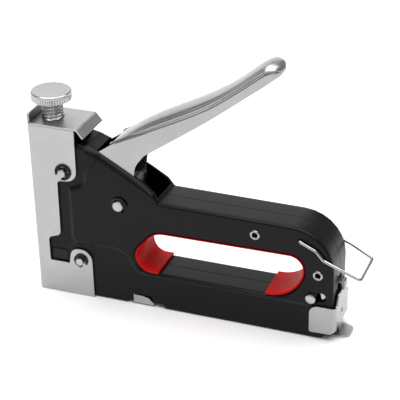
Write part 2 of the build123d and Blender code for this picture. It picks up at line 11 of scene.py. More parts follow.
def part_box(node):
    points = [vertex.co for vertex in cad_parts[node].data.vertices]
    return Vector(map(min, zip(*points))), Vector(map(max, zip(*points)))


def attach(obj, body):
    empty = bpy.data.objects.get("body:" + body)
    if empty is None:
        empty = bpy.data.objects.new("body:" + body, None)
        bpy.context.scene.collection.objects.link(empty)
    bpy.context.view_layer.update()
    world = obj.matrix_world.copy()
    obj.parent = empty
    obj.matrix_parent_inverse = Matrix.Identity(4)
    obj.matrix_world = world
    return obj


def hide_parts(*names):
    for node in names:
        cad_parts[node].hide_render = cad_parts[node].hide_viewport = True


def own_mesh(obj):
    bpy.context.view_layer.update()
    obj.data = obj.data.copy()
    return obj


# Lever staple gun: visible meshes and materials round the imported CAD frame.
# Outlines are in millimetres from the front of the nose (x), the centre plane (y)
# and the work surface (z); place() turns them into the frame's metres.

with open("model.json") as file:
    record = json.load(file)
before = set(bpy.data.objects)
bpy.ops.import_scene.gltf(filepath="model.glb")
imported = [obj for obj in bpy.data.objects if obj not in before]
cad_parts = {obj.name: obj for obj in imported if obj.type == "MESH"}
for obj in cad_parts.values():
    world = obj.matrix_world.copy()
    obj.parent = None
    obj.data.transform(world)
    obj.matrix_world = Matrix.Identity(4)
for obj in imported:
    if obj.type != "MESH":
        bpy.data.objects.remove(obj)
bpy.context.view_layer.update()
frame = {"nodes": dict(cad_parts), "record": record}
nodes = frame["nodes"]
MM = 0.001
nose_x = (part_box("nose_cover")[0] / MM).x


def place(x, y, z):
    """A point given in millimetres from the nose, in the frame's metres."""
    return Vector(((x + nose_x) * MM, y * MM, z * MM))


# ---- Materials -----------------------------------------------------------------------

RELIEF = 0.0002  # height of a surface grain at full strength, in metres


class Nodes:
    """A node material under construction, with short calls for the common nodes."""

    def __init__(self, name):
        self.material = bpy.data.materials.new(name)
        self.material.use_nodes = True
        self.tree = self.material.node_tree
        self.shader = self.tree.nodes["Principled BSDF"]
        self.coords = self.add("ShaderNodeTexCoord").outputs["Object"]

    def add(self, kind, **settings):
        """A new node with its settings."""
        node = self.tree.nodes.new(kind)
        for key, value in settings.items():
            setattr(node, key, value)
        return node

    def link(self, out, into):
        """Joins an output to an input."""
        self.tree.links.new(out, into)

    def stretch(self, scale):
        """Object coordinates scaled along each axis."""
        mapping = self.add("ShaderNodeMapping")
        mapping.inputs["Scale"].default_value = scale
        self.link(self.coords, mapping.inputs["Vector"])
        return mapping.outputs["Vector"]

    def noise(self, scale, detail=4.0, roughness=0.55, vector=None):
        """Cloudy noise, in object coordinates unless given others."""
        node = self.add("ShaderNodeTexNoise")
        node.inputs["Scale"].default_value = scale
        node.inputs["Detail"].default_value = detail
        node.inputs["Roughness"].default_value = roughness
        self.link(self.coords if vector is None else vector, node.inputs["Vector"])
        return node.outputs["Fac"]

    def spread(self, value, start, end, low_value=0.0, high_value=1.0):
        """A value mapped from one range to another."""
        node = self.add("ShaderNodeMapRange")
        for key, number in (
            ("From Min", start),
            ("From Max", end),
            ("To Min", low_value),
            ("To Max", high_value),
        ):
            node.inputs[key].default_value = number
        self.link(value, node.inputs["Value"])
        return node.outputs["Result"]

    def blend(self, factor, first, second):
        """A mix of two colours, each a number triple or a socket."""
        node = self.add("ShaderNodeMix", data_type="RGBA")
        self.link(factor, node.inputs["Factor"])
        for socket, value in ((node.inputs[6], first), (node.inputs[7], second)):
            if hasattr(value, "is_output"):
                self.link(value, socket)
            else:
                socket.default_value = (*value, 1)
        return node.outputs[2]

    def edge(self, start, end):
        """White on convex edges, from the mesh's pointiness."""
        geometry = self.add("ShaderNodeNewGeometry")
        return self.spread(geometry.outputs["Pointiness"], start, end)

    def bump(self, height, strength, distance, normal=None):
        """A normal roughened by a height, on top of another normal if one is given."""
        node = self.add("ShaderNodeBump")
        node.inputs["Strength"].default_value = strength
        node.inputs["Distance"].default_value = distance
        self.link(height, node.inputs["Height"])
        if normal is not None:
            self.link(normal, node.inputs["Normal"])
        return node.outputs["Normal"]

    def plain(self, **values):
        """Sets constants on the shader itself."""
        for key, value in values.items():
            self.shader.inputs[key.replace("_", " ")].default_value = value

    def drive(self, **sockets):
        """Links outputs to the shader's inputs."""
        for key, out in sockets.items():
            self.link(out, self.shader.inputs[key.replace("_", " ")])


def metal(name, colour, dark, rough, grain, relief, stretch=(1, 1, 1)):
    """Plated or bare metal with faint rolling grain and smudges."""
    m = Nodes(name)
    smudge = m.noise(55.0, 5.0, 0.6)
    fine = m.noise(grain, 3.0, 0.65, m.stretch(stretch))
    m.drive(
        Base_Color=m.blend(m.spread(smudge, 0.35, 0.7), colour, dark),
        Roughness=m.spread(m.noise(160.0, 4.0), 0.3, 0.75, *rough),
        Normal=m.bump(fine, relief, RELIEF),
    )
    m.plain(Metallic=1.0)
    return m.material


# colour, colour of the smudges, roughness from and to, scale and strength of the grain
metals = {
    "nickel_plate": (
        (0.415, 0.415, 0.417), (0.385, 0.385, 0.388), (0.33, 0.41), 900.0, 0.012, (1, 1, 0.15)
    ),
    "lever_chrome": (
        (0.375, 0.375, 0.377), (0.345, 0.345, 0.348), (0.26, 0.34), 700.0, 0.012, (0.3, 1, 1)
    ),
    "knob_plate": ((0.42, 0.42, 0.422), (0.37, 0.37, 0.375), (0.20, 0.28), 1200.0, 0.02),
    "zinc_plate": ((0.60, 0.61, 0.63), (0.50, 0.51, 0.53), (0.28, 0.42), 1100.0, 0.08),
    "tool_steel": (
        (0.33, 0.33, 0.34), (0.24, 0.24, 0.25), (0.34, 0.50), 800.0, 0.10, (1, 1, 0.1)
    ),
    "spring_steel": ((0.44, 0.45, 0.47), (0.33, 0.34, 0.36), (0.26, 0.38), 1500.0, 0.05),
    "black_oxide": ((0.030, 0.030, 0.032), (0.014, 0.014, 0.015), (0.22, 0.38), 1300.0, 0.05),
    "pin_plate": ((0.44, 0.44, 0.445), (0.34, 0.34, 0.345), (0.24, 0.36), 1000.0, 0.03),
    "rivet_plate": ((0.40, 0.40, 0.41), (0.26, 0.26, 0.27), (0.20, 0.32), 1000.0, 0.04),
    "bail_wire": ((0.44, 0.44, 0.445), (0.30, 0.30, 0.31), (0.14, 0.24), 1200.0, 0.03),
}
finish = {name: metal(name, *values) for name, values in metals.items()}


def enamel():
    """Black stoving enamel: satin, slightly orange-peeled, greyer where edges have rubbed."""
    m = Nodes("shell_enamel")
    cloud = m.noise(28.0, 4.0, 0.5)
    base = m.blend(m.spread(cloud, 0.35, 0.7), (0.0030, 0.0030, 0.0032), (0.0020, 0.0020, 0.0022))
    rubbed = m.blend(m.edge(0.53, 0.66), base, (0.010, 0.010, 0.0105))
    peel = m.bump(m.noise(420.0, 2.0, 0.5), 0.10, RELIEF)
    lengthwise = m.noise(1.0, 3.0, 0.6, m.stretch((9.0, 950.0, 420.0)))
    drawn = m.bump(lengthwise, 0.10, RELIEF, peel)
    dust = m.bump(m.noise(2600.0, 2.0, 0.6), 0.06, 0.4 * RELIEF, drawn)
    m.drive(
        Base_Color=rubbed,
        Roughness=m.spread(m.noise(90.0, 5.0, 0.6), 0.3, 0.75, 0.26, 0.36),
        Normal=dust,
    )
    m.plain(Metallic=0.0, IOR=1.25)
    return m.material


def grip_plastic():
    """Red moulded plastic: fine spark texture, soft gloss, paler rubbed edges."""
    m = Nodes("red_grip")
    cloud = m.noise(60.0, 4.0, 0.55)
    red = m.blend(m.spread(cloud, 0.3, 0.75), (0.47, 0.0050, 0.0040), (0.40, 0.0035, 0.0030))
    worn = m.blend(m.edge(0.54, 0.68), red, (0.50, 0.016, 0.012))
    grain = m.bump(m.noise(1900.0, 3.0, 0.7), 0.08, 0.6 * RELIEF)
    m.drive(
        Base_Color=worn,
        Roughness=m.spread(m.noise(240.0, 4.0), 0.3, 0.7, 0.46, 0.58),
        Normal=grain,
    )
    m.plain(Metallic=0.0, IOR=1.20)
    return m.material


def bumper_rubber():
    """Dull black rubber, slightly mottled."""
    m = Nodes("bumper_rubber")
    m.drive(
        Base_Color=m.blend(m.noise(140.0, 4.0), (0.020, 0.020, 0.021), (0.034, 0.033, 0.032)),
        Roughness=m.spread(m.noise(300.0, 3.0), 0.3, 0.7, 0.62, 0.78),
        Normal=m.bump(m.noise(1500.0, 3.0), 0.2, RELIEF),
    )
    m.plain(Metallic=0.0)
    return m.material


finish["shell_enamel"] = enamel()
finish["red_grip"] = grip_plastic()
finish["bumper_rubber"] = bumper_rubber()
finish["dark_steel"] = finish["black_oxide"]


def finish_node(node, name):
    """Gives a CAD node that stays as it is its material."""
    piece = nodes[node]
    piece.data.materials.clear()
    piece.data.materials.append(finish[name])


for entry in frame["record"]["subparts"]:
    finish_node(entry["node"], entry["material_slot"])
finish_node("catch", "tool_steel")  # plain steel, unlike its plated pin


# ---- Mesh helpers --------------------------------------------------------------------

CORNER_STEPS = 7  # runs in a rounded corner
MERGE, NOTHING = 2e-6, 1e-7  # distances, in metres, at which points are one or an edge is nothing
FLAT_TURN = radians(0.3)  # faces that turn less than this are one
RIM_TURN = radians(55)  # edges that turn more than this are rims and are softened


def smooth_path(points, radii, closed=True, steps=CORNER_STEPS):
    """A run of points whose corners are rounded to the given radii."""
    path = []
    count = len(points)
    for i, (point, radius) in enumerate(zip(points, radii)):
        if radius <= 0 or (not closed and i in (0, count - 1)):
            path.append(point.copy())
            continue
        back = (points[i - 1] - point).normalized()
        ahead = (points[(i + 1) % count] - point).normalized()
        opening = back.angle(ahead)
        reach = radius / tan(opening / 2)
        centre = point + (back + ahead).normalized() * (radius / sin(opening / 2))
        start = point + back * reach - centre
        end = point + ahead * reach - centre
        swing = pi - opening
        for step in range(steps + 1):
            part = step / steps
            path.append(
                centre
                + start * (sin((1 - part) * swing) / sin(swing))
                + end * (sin(part * swing) / sin(swing))
            )
    return path


def outline(corners, inset=0.0):
    """A closed outline, anticlockwise, with rounded corners, moved inwards by inset."""
    points = [Vector(corner[:2]) for corner in corners]
    moved, radii = [], []
    for i, point in enumerate(points):
        before = (point - points[i - 1]).normalized()
        after = (points[(i + 1) % len(points)] - point).normalized()
        spread = Vector((-before.y - after.y, before.x + after.x))
        moved.append(point + spread * (2 * inset / spread.length_squared))
        turn = before.x * after.y - before.y * after.x
        radius = corners[i][2]
        inner = radius - inset * (1 if turn > 0 else -1)
        radii.append(max(inner, 0.02) if radius > 0 else 0)
    return smooth_path(moved, radii)


def ring(x, z, radius, steps=28):
    """A circle's points, anticlockwise."""
    turns = [2 * pi * i / steps for i in range(steps)]
    return [Vector((x + radius * cos(a), z + radius * sin(a))) for a in turns]


def distances(points, path, closed=True):
    """How far each point lies from a path of straight runs."""
    start = np.array([tuple(p) for p in path])
    end = np.roll(start, -1, axis=0)
    if not closed:
        start, end = start[:-1], end[:-1]
    run = end - start
    kept = (run**2).sum(1) > 1e-12
    start, run = start[kept], run[kept]
    away = points[:, None, :] - start[None]
    along = np.clip((away * run).sum(2) / (run**2).sum(1), 0, 1)
    return np.sqrt(((away - along[..., None] * run) ** 2).sum(2)).min(1)


def inside(points, path):
    """Whether each point lies inside a closed path."""
    start = np.array([tuple(p) for p in path])
    end = np.roll(start, -1, axis=0)
    x, z = points[:, 0, None], points[:, 1, None]
    crosses = (start[:, 1] > z) != (end[:, 1] > z)
    rise = np.where(end[:, 1] == start[:, 1], 1e-12, end[:, 1] - start[:, 1])
    at = start[:, 0] + (z - start[:, 1]) * (end[:, 0] - start[:, 0]) / rise
    return ((crosses & (x < at)).sum(1) % 2) == 1


def fill(border, holes=(), rings=(), lines=()):
    """Triangles inside a border and outside its holes, with rings and lines kept as edges."""
    points, edges = [], []
    closed_paths = [(path, True) for path in (border, *holes, *rings)]
    for path, closed in closed_paths + [(path, False) for path in lines]:
        first = len(points)
        points += [Vector(p[:2]) for p in path]
        edges += [(first + i, first + i + 1) for i in range(len(path) - 1)]
        if closed:
            edges.append((len(points) - 1, first))
    same_point, no_area = 0.004, 1e-7
    flat, _, faces, *_ = delaunay_2d_cdt(points, edges, [], 0, same_point)
    flat = np.array([tuple(p) for p in flat])
    faces = np.array([face for face in faces if len(face) == 3])
    centres = flat[faces].mean(1)
    kept = inside(centres, border)
    for hole in holes:
        kept &= ~inside(centres, hole)
    faces = faces[kept]
    a, b, c = flat[faces[:, 0]], flat[faces[:, 1]], flat[faces[:, 2]]
    b, c = b - a, c - a
    area = b[:, 0] * c[:, 1] - b[:, 1] * c[:, 0]
    faces = faces[np.abs(area) > no_area]
    area = area[np.abs(area) > no_area]
    faces[area < 0] = faces[area < 0][:, ::-1]
    return flat, [tuple(int(i) for i in face) for face in faces]


def rim(faces):
    """The open edges of some faces, each in its face's direction."""
    seen = {}
    for face in faces:
        for i, a in enumerate(face):
            b = face[(i + 1) % len(face)]
            if (b, a) in seen:
                del seen[(b, a)]
            else:
                seen[(a, b)] = True
    return list(seen)


def grid(rows, closed=False):
    """Quads between equal rows of points; closed joins each row's end to its start."""
    width = len(rows[0])
    faces = []
    for i in range(len(rows) - 1):
        for k in range(width if closed else width - 1):
            a = i * width + k
            b = i * width + (k + 1) % width
            faces.append((a, b, b + width, a + width))
    return [p for row in rows for p in row], faces


def capped(rows):
    """A skin round closed rows of points, with a face over each end."""
    points, faces = grid(rows, closed=True)
    width = len(rows[0])
    last = len(points) - width
    faces.append(tuple(range(width - 1, -1, -1)))
    faces.append(tuple(range(last, last + width)))
    return points, faces


def turned_over(faces):
    """The same faces, seen from their other side."""
    return [face[::-1] for face in faces]


def spaced(path):
    """A path without the points that fall on the one before."""
    return [p for i, p in enumerate(path) if i == 0 or (p - path[i - 1]).length > 1e-4]


def heading(path, i):
    """The direction of a path at one of its points."""
    return (path[min(i + 1, len(path) - 1)] - path[max(i - 1, 0)]).normalized()


def piece(
    name, points, faces, material, body, slot, thick=0.0, edge=0.0, crease=38, flip=False
):
    """A mesh from points in millimetres that stands for the CAD node of its name.

    A sheet gets its thickness, thick, on the inside of its faces. Rims are softened by edge, and
    edges that turn more than crease degrees are shaded sharp.
    """
    mesh = bpy.data.meshes.new(name)
    mesh.from_pydata([place(*p) for p in points], [], turned_over(faces) if flip else faces)
    build = bmesh.new()
    build.from_mesh(mesh)
    bmesh.ops.remove_doubles(build, verts=build.verts, dist=MERGE)
    bmesh.ops.dissolve_degenerate(build, edges=build.edges, dist=NOTHING)
    loose = [v for v in build.verts if not v.link_faces]
    bmesh.ops.delete(build, geom=loose, context="VERTS")
    if thick:
        bmesh.ops.dissolve_limit(
            build, angle_limit=FLAT_TURN, verts=build.verts, edges=build.edges
        )
    for face in build.faces:
        face.smooth = True
    for seam in build.edges:
        if seam.is_manifold and seam.calc_face_angle(0) > radians(crease):
            seam.smooth = False
    build.to_mesh(mesh)
    build.free()
    made = bpy.data.objects.new(f"{name}_detail", mesh)
    bpy.context.scene.collection.objects.link(made)
    if thick:
        sheet = made.modifiers.new("sheet", "SOLIDIFY")
        sheet.thickness = thick * MM
        sheet.offset = -1
        sheet.use_even_offset = False
    if edge:
        soft = made.modifiers.new("soft_edges", "BEVEL")
        soft.width = edge * MM
        soft.segments = 2
        soft.limit_method = "ANGLE"
        soft.angle_limit = RIM_TURN
        soft.use_clamp_overlap = False
    made.modifiers.new("even_shade", "WEIGHTED_NORMAL").keep_sharp = True
    mesh.materials.append(finish[material])
    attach(made, body)
    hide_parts(name)
    return made


def tube(path, radius, sides=10):
    """A round wire along a path, closed at both ends by a shallow cone."""
    path = spaced(path)
    turns = [2 * pi * k / sides for k in range(sides)]
    rows = []
    aside = (path[1] - path[0]).normalized().orthogonal().normalized()
    for i, point in enumerate(path):
        ahead = heading(path, i)
        aside = (aside - ahead * aside.dot(ahead)).normalized()
        up = ahead.cross(aside)
        rows.append([point + radius * (cos(a) * aside + sin(a) * up) for a in turns])
    cone_share, cone_reach = 0.55, 0.35  # shares of the radius
    ends = []
    for row, end, beside in ((rows[0], path[0], path[1]), (rows[-1], path[-1], path[-2])):
        shift = (end - beside).normalized() * radius * cone_reach
        ends.append([end + (p - end) * cone_share + shift for p in row])
    return capped([ends[0], *rows, ends[1]])


def helix(foot, axis, across, radius, wire, turns, length):
    """A compression spring's centre line, with a closed turn at each end."""
    third = axis.cross(across)
    per_turn, closed_turns = 18, 0.8
    count = int(turns * per_turn)
    free = length - wire
    dead = wire / free * 0.9  # share of the length that each closed end climbs
    open_turns = turns - 2 * closed_turns
    path = []
    for i in range(count + 1):
        turn = turns * i / count
        start = min(turn / closed_turns, 1)
        end = min(max((turn - turns + closed_turns) / closed_turns, 0), 1)
        climb = min(max((turn - closed_turns) / open_turns, 0), 1)
        climb = climb * (1 - 2 * dead) + dead * (start + end)
        angle = 2 * pi * turn
        path.append(
            foot
            + axis * (wire / 2 + climb * free)
            + radius * (cos(angle) * across + sin(angle) * third)
        )
    return path


def lathe(x, z, profile, steps=40):
    """A turned piece about an axis across the tool: profile holds (radius, y) from end to end."""
    turns = [2 * pi * k / steps for k in range(steps)]
    rows = [[Vector((x + r * cos(a), y, z + r * sin(a))) for a in turns] for r, y in profile]
    return capped(rows)


def join(*parts):
    """Several sets of points and faces as one."""
    points, faces = [], []
    for more_points, more_faces in parts:
        faces += [tuple(i + len(points) for i in face) for face in more_faces]
        points += more_points
    return points, faces


def spline(points, count, ease):
    """Points along a smooth curve through the given ones, closer together towards its end."""
    ends = [2 * points[0] - points[1], *points, 2 * points[-1] - points[-2]]
    dense = []
    runs = 16
    for a, b, c, d in zip(ends, ends[1:], ends[2:], ends[3:]):
        for step in range(runs):
            t = step / runs
            square = (2 * a - 5 * b + 4 * c - d) * t**2
            cube = (3 * b - 3 * c + d - a) * t**3
            dense.append(0.5 * (2 * b + (c - a) * t + square + cube))
    dense.append(points[-1])
    lengths = [0.0]
    for a, b in zip(dense, dense[1:]):
        lengths.append(lengths[-1] + (b - a).length)
    path = []
    for i in range(count):
        want = lengths[-1] * (1 - (1 - i / (count - 1)) ** ease)
        k = max(j for j, length in enumerate(lengths) if length <= want + 1e-9)
        k = min(k, len(dense) - 2)
        part = (want - lengths[k]) / (lengths[k + 1] - lengths[k])
        path.append(dense[k].lerp(dense[k + 1], part))
    return path


def ramp(value, start, end):
    """0 before start and 1 after end, with a smooth rise between."""
    t = np.clip((value - start) / (end - start), 0, 1)
    return t * t * (3 - 2 * t)


# ---- Shells --------------------------------------------------------------------------

base_half, panel_half = 11.0, 12.2
body_rear = 171.0
upper_x, upper_z = 19.8, 76.0
lower_x, lower_z = 26.9, 22.5
pivot_x, pivot_z = 51.7, 61.2
knob_x = 9.75
catch_x, catch_z, catch_lean = 158.9, 24.3, radians(15.0)
rivets = [(128.4, 56.9), (162.7, 39.0)]
bail_x, bail_z = 152.8, 58.1
# radii of the bores
pin_bore, pivot_bore, rivet_bore, bail_bore = 2.36, 3.05, 2.05, 0.95
catch_run, catch_slot = 5.8, 2.9  # length between the ends of the catch's slot, and its radius

# corners of the outlines: x, z and the radius that rounds the corner
top_run = [
    (body_rear, 64.6, 23),
    (74.6, 65.6, 1.5),
    (71.5, 70.6, 3),
    (64.8, 75.7, 6),
    (41.0, 89.0, 12),
    (33.0, 92.3, 3),
]
shell_corners = [
    (1.9, 0.6, 0),
    (164.5, 0.6, 1),
    (body_rear, 7.0, 1),
    *top_run,
    (28.4, 93.3, 0),
    (1.9, 93.3, 2),
]
panel_corners = [
    (20.8, 66.5, 4),
    (20.8, 31.4, 5),
    (52.0, 32.4, 10),
    (59.5, 19.2, 8),
    (159.0, 18.4, 1.5),
    (161.5, 21.2, 1.5),
    (body_rear, 21.2, 0),
    *top_run,
    (30.7, 92.8, 0),
    (30.7, 71.0, 6),
]
slot_corners = [
    (71.0, 48.0, 13),
    (58.4, 33.5, 9),
    (62.2, 21.8, 9),
    (147.5, 21.8, 20),
    (155.4, 36.5, 13),
    (155.4, 48.6, 8.5),
]
pad_corners = [(8.6, 20.0, 0.8), (19.0, 20.0, 0.8), (19.0, 27.6, 0.8), (8.6, 27.6, 0.8)]
notch_corners = [
    (53.5, -1, 0),
    (75.4, -1, 0),
    (75.4, 2.6, 1.8),
    (70.6, 2.6, 0.5),
    (67.2, 6.3, 2),
    (56.6, 6.5, 0.4),
    (56.6, 2.2, 0),
    (53.5, 2.2, 0.4),
]
lever_gap = (38.8, 73.4, 9.35)  # start, end and half width of the opening for the handle
seat_gap = 7.9  # radius of the opening round the spring seat
joint_line = 0.1  # gap from each shell's walls to the centre plane
roof_level = 92.0  # only the roof over the nose is above this height
hook_gap = (26.9, 34.6, 3.4)  # foot, top and half width of the catch's slot in the rear wall
# radii of the pressed edges: along the flat top, the sloping top, the slot and the slot's foot
top_roll, slope_roll, slot_roll, flange_roll = 1.5, 2.85, 1.3, 2.5
pad_height = 0.55


def cut_runs(path, places):
    """A closed path with a point added wherever it crosses one of some places.

    A place is (0, x, from, to), between two heights, or (1, z, from, to), between two lengths.
    """
    cut = []
    for i, a in enumerate(path):
        b = path[(i + 1) % len(path)]
        cut.append(a)
        parts = []
        for axis, place_at, low_other, high_other in places:
            if (a[axis] - place_at) * (b[axis] - place_at) < 0:
                t = (place_at - a[axis]) / (b[axis] - a[axis])
                other = a.lerp(b, t)[1 - axis]
                if low_other < other < high_other:
                    parts.append(t)
        cut += [a.lerp(b, t) for t in sorted(parts)]
    return cut


def obround(x, z, reach, lean, radius, steps=12):
    """A slot's outline: two half rounds whose centres lie reach apart."""
    path = []
    for end, first in ((0, pi / 2), (1, -pi / 2)):
        for i in range(steps + 1):
            angle = lean + first + pi * i / steps
            across = x + end * reach * cos(lean) + radius * cos(angle)
            path.append(Vector((across, z + end * reach * sin(lean) + radius * sin(angle))))
    return path


def roll_off(near, radius):
    """How far a rolled edge falls away from its face at a distance from its rim."""
    near = np.clip(near, 0, radius)
    return radius - np.sqrt(np.maximum(radius**2 - (radius - near) ** 2, 0))


def on_roof_arc(x, z):
    """Whether a place of the border lies on the round part of the roof opening."""
    return z > roof_level and knob_x < x < knob_x + seat_gap


def wall_reach(x, z):
    """How near the centre plane the wall comes at a place of the border."""
    gap_start, gap_end, gap_half = lever_gap
    hook_foot, hook_top, hook_half = hook_gap
    slack = 0.01
    over_grip, near_rear = 66.4, 165
    if gap_start - slack < x < gap_end + slack and z > over_grip:
        return gap_half
    if x > near_rear and hook_foot - slack < z < hook_top + slack:
        return hook_half
    if z > roof_level and x < knob_x + seat_gap:
        return max(joint_line, sqrt(max(seat_gap**2 - max(x - knob_x, 0) ** 2, 0)))
    return joint_line


def shell(name, side):
    """One pressed half: a panel with rolled edges, its walls, bores and openings."""
    # where the border is cut: over the nose, along the top and down the rear wall
    roof, top, rear = (90, 95), (66, 95), (160, 175)
    wall_foot, roof_steps = 16.6, 8
    cuts = [(0, lever_gap[0], *top), (0, lever_gap[1], *top)]
    cuts += [(1, z, *rear) for z in (wall_foot, hook_gap[0], hook_gap[1])]
    for i in range(roof_steps + 1):
        cuts.append((0, knob_x + seat_gap * sin(pi / 2 * i / roof_steps), *roof))
    border = cut_runs(outline(shell_corners), cuts)
    slot_rim = outline(slot_corners)
    panel = outline(panel_corners)
    pad = outline(pad_corners)
    insets = (0.1, 0.35, 0.8, 1.5, 2.2, 3.0)
    rings = [panel, pad]
    rings += [outline(shell_corners, d) for d in insets]
    rings += [outline(panel_corners, d) for d in insets]
    rings += [outline(slot_corners, -d) for d in insets]
    rings += [outline(pad_corners, d) for d in (0.35, 0.7)]
    holes = [slot_rim, outline(notch_corners)]
    holes += [ring(upper_x, upper_z, pin_bore), ring(lower_x, lower_z, pin_bore)]
    holes += [ring(pivot_x, pivot_z, pivot_bore)]
    holes += [ring(x, z, rivet_bore) for x, z in rivets]
    holes.append(ring(bail_x, bail_z, bail_bore, 14))
    holes.append(obround(catch_x, catch_z, catch_run, catch_lean, catch_slot))
    flat, faces = fill(border, holes, rings)
    # the panel's rise starts from its own edge only, not from the edge it shares with the border
    at_top = panel.index(next(p for p in panel if p.y < 92.9 and p.x < 31))
    from_top = panel[at_top:] + panel[:at_top]
    own_edge = [p for p in from_top if p.y < 93 and (p.x < 31 or p.y < 33)]
    rise = np.where(inside(flat, panel), distances(flat, own_edge, closed=False), 0)
    pad_rise = np.where(inside(flat, pad), distances(flat, pad), 0)
    level = base_half + (panel_half - base_half) * ramp(rise, 0, 3.0)
    level += pad_height * ramp(pad_rise, 0, 0.7)
    walled = [p for p in border if p.y > 16.5 and (p.x > 160 or p.y > 60) and p.x > 2]
    to_wall, to_slot = distances(flat, walled, closed=False), distances(flat, slot_rim)
    slope = (1 - ramp(flat[:, 0], 64, 78)) * ramp(flat[:, 1], 66, 72)
    slot_foot = 1 - ramp(flat[:, 1], 22, 32)
    level -= roll_off(to_wall, top_roll + (slope_roll - top_roll) * slope)
    level -= roll_off(to_slot, slot_roll + (flange_roll - slot_roll) * slot_foot)
    points = [(p[0], side * y, p[1]) for p, y in zip(flat, level)]
    on_slot, on_wall = to_slot < 1e-3, to_wall < 1e-3
    added = {}
    for a, b in rim(faces):
        if not ((on_slot[a] and on_slot[b]) or (on_wall[a] and on_wall[b])):
            continue
        middle = (flat[a] + flat[b]) / 2
        corner = []
        for v in (b, a):
            if on_slot[a]:
                reach = joint_line
            else:
                reach = wall_reach(*(flat[v] if on_roof_arc(*middle) else middle))
            key = (v, round(reach, 3))
            if key not in added:
                added[key] = len(points)
                points.append((flat[v][0], side * min(reach, abs(points[v][1])), flat[v][1]))
            corner.append(added[key])
        faces.append((b, a, corner[1], corner[0]))
    piece(
        name,
        points,
        faces,
        "shell_enamel",
        "body",
        "shell_enamel",
        thick=1.0,
        edge=0.16,
        flip=side > 0,
    )


shell("left_shell", -1)
shell("right_shell", 1)


# ---- Folded sheets -------------------------------------------------------------------

cover_half, cover_fold = 12.4, 1.6
cover_top, wall_top = 101.2, 107.2
front_half = cover_half - cover_fold  # flat part of the front
fold_length = cover_fold * pi / 2
cover_start = front_half + fold_length - cover_fold  # pattern length less distance along


def fold(u, flat_half, radius, outer_half):
    """Along-the-tool and sideways place of a pattern length u from the centre of a front wall."""
    far = abs(u)
    sign = 1 if u > 0 else -1
    if far <= flat_half:
        return 0.0, u
    turn = (far - flat_half) / radius
    if turn < pi / 2:
        return radius * (1 - cos(turn)), sign * (flat_half + radius * sin(turn))
    return radius + (turn - pi / 2) * radius, sign * outer_half


def mirrored(half):
    """A closed pattern from its right half, which runs anticlockwise from the centre's foot."""
    return half + [Vector((-p.x, p.y)) for p in reversed(half) if p.x > 1e-6]


def fold_lines(flat_half, radius, foot, head, steps=6):
    """Lines up the pattern where the sheet turns, so that the fold comes out round."""
    return [
        [Vector((sign * (flat_half + radius * pi / 2 * i / steps), z)) for z in (foot, head)]
        for sign in (-1, 1)
        for i in range(steps + 1)
    ]


def nose_cover():
    """The bright sheet folded round the front, with an ear at each of its two pins."""
    front_edge = 0.9
    side = [
        (lower_x + 6.7, 0, 0.5),
        (lower_x + 6.7, lower_z + 6.7, 6.5),
        (lower_x - 5.6, lower_z + 6.7, 5),
        (19.6, 19.4, 0.6),
        (7.9, 19.4, 0.8),
        (7.9, 34.0, 2.8),
        (15.4, 36.4, 3.4),
        (15.8, 69.9, 1.8),
        (27.4, 71.2, 6.5),
        (27.6, cover_top, 0.4),
        (front_edge, cover_top, 0.5),
        (front_edge - 1.2, wall_top, 2.2),
    ]
    corners = [Vector((x + cover_start, z)) for x, z, _ in side]
    radii = [0, *[r for _, _, r in side], 0]
    half = smooth_path([Vector((0, 0)), *corners, Vector((0, wall_top))], radii, closed=False)
    holes = []
    for x, z in ((upper_x, upper_z), (lower_x, lower_z)):
        for sign in (-1, 1):
            holes.append(ring(sign * (x + cover_start), z, pin_bore))
    flat, faces = fill(mirrored(half), holes, (), fold_lines(front_half, cover_fold, -5, 110))
    points = []
    for u, z in flat:
        x, y = fold(u, front_half, cover_fold, cover_half)
        points.append((x, y, z))
    piece(
        "nose_cover",
        points,
        faces,
        "nickel_plate",
        "body",
        "nickel_plate",
        thick=1.15,
        edge=0.14,
        flip=True,
    )


def top_plate():
    """The plate over the nose, with its lip turned down at the rear."""
    top, bend, lean = 102.32, 2.2, radians(52)
    flat_end, lip = 28.4, 5.0
    start = 1.4
    fold_run = bend * lean
    border = [
        (start, -cover_half, 0.4),
        (flat_end + fold_run + lip, -cover_half, 0.5),
        (flat_end + fold_run + lip, cover_half, 0.5),
        (start, cover_half, 0.4),
    ]
    lines = [[Vector((flat_end + fold_run * i / 6, y)) for y in (-20, 20)] for i in range(7)]
    flat, faces = fill(outline(border), [ring(knob_x, 0, 6.1, 40)], (), lines)
    points = []
    for u, y in flat:
        turn = min(max((u - flat_end) / bend, 0), lean)
        run = max(u - flat_end - fold_run, 0)
        x = min(u, flat_end) + bend * sin(turn) + run * cos(lean)
        z = top - bend * (1 - cos(turn)) - run * sin(lean)
        points.append((x, y, z))
    piece(
        "top_plate", points, faces, "nickel_plate", "body", "nickel_plate", thick=1.1, edge=0.24
    )


